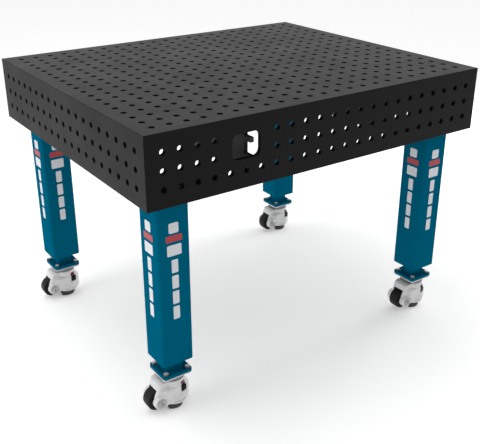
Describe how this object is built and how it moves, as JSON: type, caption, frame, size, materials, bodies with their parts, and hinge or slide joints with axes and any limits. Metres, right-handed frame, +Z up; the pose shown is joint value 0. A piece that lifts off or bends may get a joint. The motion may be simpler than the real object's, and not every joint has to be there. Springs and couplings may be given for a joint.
{
  "type": "welding table",
  "caption": "Box-shaped steel welding and fixture table with a grid of round holes in its top and walls, on four square legs with levelling casters that swivel, roll and screw down.",
  "frame": {"origin": "on the floor under the middle of the table", "axes": "+X along the 1200 mm side, the front wall with the window faces -Y, +Z up; at rest the table stands on its four rubber feet, and the wheels, 9 mm clear of the floor, trail towards -X"},
  "size_m": [1.2, 1, 0.88],
  "materials": {
    "table_steel": "satin ground plate with a dark grey protective surface",
    "rib_steel": "plain dark mill finish",
    "leg_paint": "smooth teal-blue powder coat",
    "zinc_plate": "bright zinc plate",
    "cast_aluminium": "light grey satin die casting",
    "axle_steel": "turned steel",
    "black_nylon": "black nylon",
    "red_plastic": "red moulded plastic",
    "black_rubber": "matte black rubber",
    "bolt_steel": "bright zinc plate"
  },
  "bodies": {
    "table": {"table_top": "table_steel", "front_wall": "table_steel", "rear_wall": "table_steel", "left_wall": "table_steel", "right_wall": "table_steel", "cross_rib_left": "rib_steel", "cross_rib_right": "rib_steel", "long_rib": "rib_steel", "corner_plate_front_left": "rib_steel", "leg_front_left": "leg_paint", "leg_foot_front_left": "leg_paint", "flange_bolt_front_left_1": "bolt_steel", "flange_bolt_front_left_2": "bolt_steel", "flange_bolt_front_left_3": "bolt_steel", "flange_bolt_front_left_4": "bolt_steel", "caster_plate_front_left": "zinc_plate", "corner_plate_front_right": "rib_steel", "leg_front_right": "leg_paint", "leg_foot_front_right": "leg_paint", "flange_bolt_front_right_1": "bolt_steel", "flange_bolt_front_right_2": "bolt_steel", "flange_bolt_front_right_3": "bolt_steel", "flange_bolt_front_right_4": "bolt_steel", "caster_plate_front_right": "zinc_plate", "corner_plate_rear_left": "rib_steel", "leg_rear_left": "leg_paint", "leg_foot_rear_left": "leg_paint", "flange_bolt_rear_left_1": "bolt_steel", "flange_bolt_rear_left_2": "bolt_steel", "flange_bolt_rear_left_3": "bolt_steel", "flange_bolt_rear_left_4": "bolt_steel", "caster_plate_rear_left": "zinc_plate", "corner_plate_rear_right": "rib_steel", "leg_rear_right": "leg_paint", "leg_foot_rear_right": "leg_paint", "flange_bolt_rear_right_1": "bolt_steel", "flange_bolt_rear_right_2": "bolt_steel", "flange_bolt_rear_right_3": "bolt_steel", "flange_bolt_rear_right_4": "bolt_steel", "caster_plate_rear_right": "zinc_plate"},
    "swivel_front_left": {"caster_housing_front_left": "cast_aluminium", "caster_axle_front_left": "axle_steel"},
    "wheel_front_left": {"caster_wheel_front_left": "black_nylon"},
    "dial_front_left": {"levelling_dial_front_left": "red_plastic"},
    "foot_front_left": {"levelling_foot_front_left": "black_rubber"},
    "swivel_front_right": {"caster_housing_front_right": "cast_aluminium", "caster_axle_front_right": "axle_steel"},
    "wheel_front_right": {"caster_wheel_front_right": "black_nylon"},
    "dial_front_right": {"levelling_dial_front_right": "red_plastic"},
    "foot_front_right": {"levelling_foot_front_right": "black_rubber"},
    "swivel_rear_left": {"caster_housing_rear_left": "cast_aluminium", "caster_axle_rear_left": "axle_steel"},
    "wheel_rear_left": {"caster_wheel_rear_left": "black_nylon"},
    "dial_rear_left": {"levelling_dial_rear_left": "red_plastic"},
    "foot_rear_left": {"levelling_foot_rear_left": "black_rubber"},
    "swivel_rear_right": {"caster_housing_rear_right": "cast_aluminium", "caster_axle_rear_right": "axle_steel"},
    "wheel_rear_right": {"caster_wheel_rear_right": "black_nylon"},
    "dial_rear_right": {"levelling_dial_rear_right": "red_plastic"},
    "foot_rear_right": {"levelling_foot_rear_right": "black_rubber"}
  },
  "joints": [
    {"name": "swivel_front_left", "type": "hinge", "parent": "table", "child": "swivel_front_left", "pos_m": [-0.5, -0.4, 0.1], "axis": [0, 0, 1], "continuous": true},
    {"name": "roll_front_left", "type": "hinge", "parent": "swivel_front_left", "child": "wheel_front_left", "pos_m": [-0.554, -0.4, 0.043], "axis": [0, 1, 0], "continuous": true},
    {"name": "dial_front_left", "type": "hinge", "parent": "swivel_front_left", "child": "dial_front_left", "pos_m": [-0.5, -0.4, 0.083], "axis": [0, 0, 1], "range_deg": [0, 1440]},
    {"name": "foot_front_left", "type": "slide", "parent": "swivel_front_left", "child": "foot_front_left", "axis": [0, 0, 1], "range_m": [0, 0.0121]},
    {"name": "swivel_front_right", "type": "hinge", "parent": "table", "child": "swivel_front_right", "pos_m": [0.5, -0.4, 0.1], "axis": [0, 0, 1], "continuous": true},
    {"name": "roll_front_right", "type": "hinge", "parent": "swivel_front_right", "child": "wheel_front_right", "pos_m": [0.446, -0.4, 0.043], "axis": [0, 1, 0], "continuous": true},
    {"name": "dial_front_right", "type": "hinge", "parent": "swivel_front_right", "child": "dial_front_right", "pos_m": [0.5, -0.4, 0.083], "axis": [0, 0, 1], "range_deg": [0, 1440]},
    {"name": "foot_front_right", "type": "slide", "parent": "swivel_front_right", "child": "foot_front_right", "axis": [0, 0, 1], "range_m": [0, 0.0121]},
    {"name": "swivel_rear_left", "type": "hinge", "parent": "table", "child": "swivel_rear_left", "pos_m": [-0.5, 0.4, 0.1], "axis": [0, 0, 1], "continuous": true},
    {"name": "roll_rear_left", "type": "hinge", "parent": "swivel_rear_left", "child": "wheel_rear_left", "pos_m": [-0.554, 0.4, 0.043], "axis": [0, 1, 0], "continuous": true},
    {"name": "dial_rear_left", "type": "hinge", "parent": "swivel_rear_left", "child": "dial_rear_left", "pos_m": [-0.5, 0.4, 0.083], "axis": [0, 0, 1], "range_deg": [0, 1440]},
    {"name": "foot_rear_left", "type": "slide", "parent": "swivel_rear_left", "child": "foot_rear_left", "axis": [0, 0, 1], "range_m": [0, 0.0121]},
    {"name": "swivel_rear_right", "type": "hinge", "parent": "table", "child": "swivel_rear_right", "pos_m": [0.5, 0.4, 0.1], "axis": [0, 0, 1], "continuous": true},
    {"name": "roll_rear_right", "type": "hinge", "parent": "swivel_rear_right", "child": "wheel_rear_right", "pos_m": [0.446, 0.4, 0.043], "axis": [0, 1, 0], "continuous": true},
    {"name": "dial_rear_right", "type": "hinge", "parent": "swivel_rear_right", "child": "dial_rear_right", "pos_m": [0.5, 0.4, 0.083], "axis": [0, 0, 1], "range_deg": [0, 1440]},
    {"name": "foot_rear_right", "type": "slide", "parent": "swivel_rear_right", "child": "foot_rear_right", "axis": [0, 0, 1], "range_m": [0, 0.0121]}
  ],
  "couplings": [
    {"joint": "foot_front_left", "follows": "dial_front_left", "m_per_rad": 0.0004775},
    {"joint": "foot_front_right", "follows": "dial_front_right", "m_per_rad": 0.0004775},
    {"joint": "foot_rear_left", "follows": "dial_rear_left", "m_per_rad": 0.0004775},
    {"joint": "foot_rear_right", "follows": "dial_rear_right", "m_per_rad": 0.0004775}
  ]
}
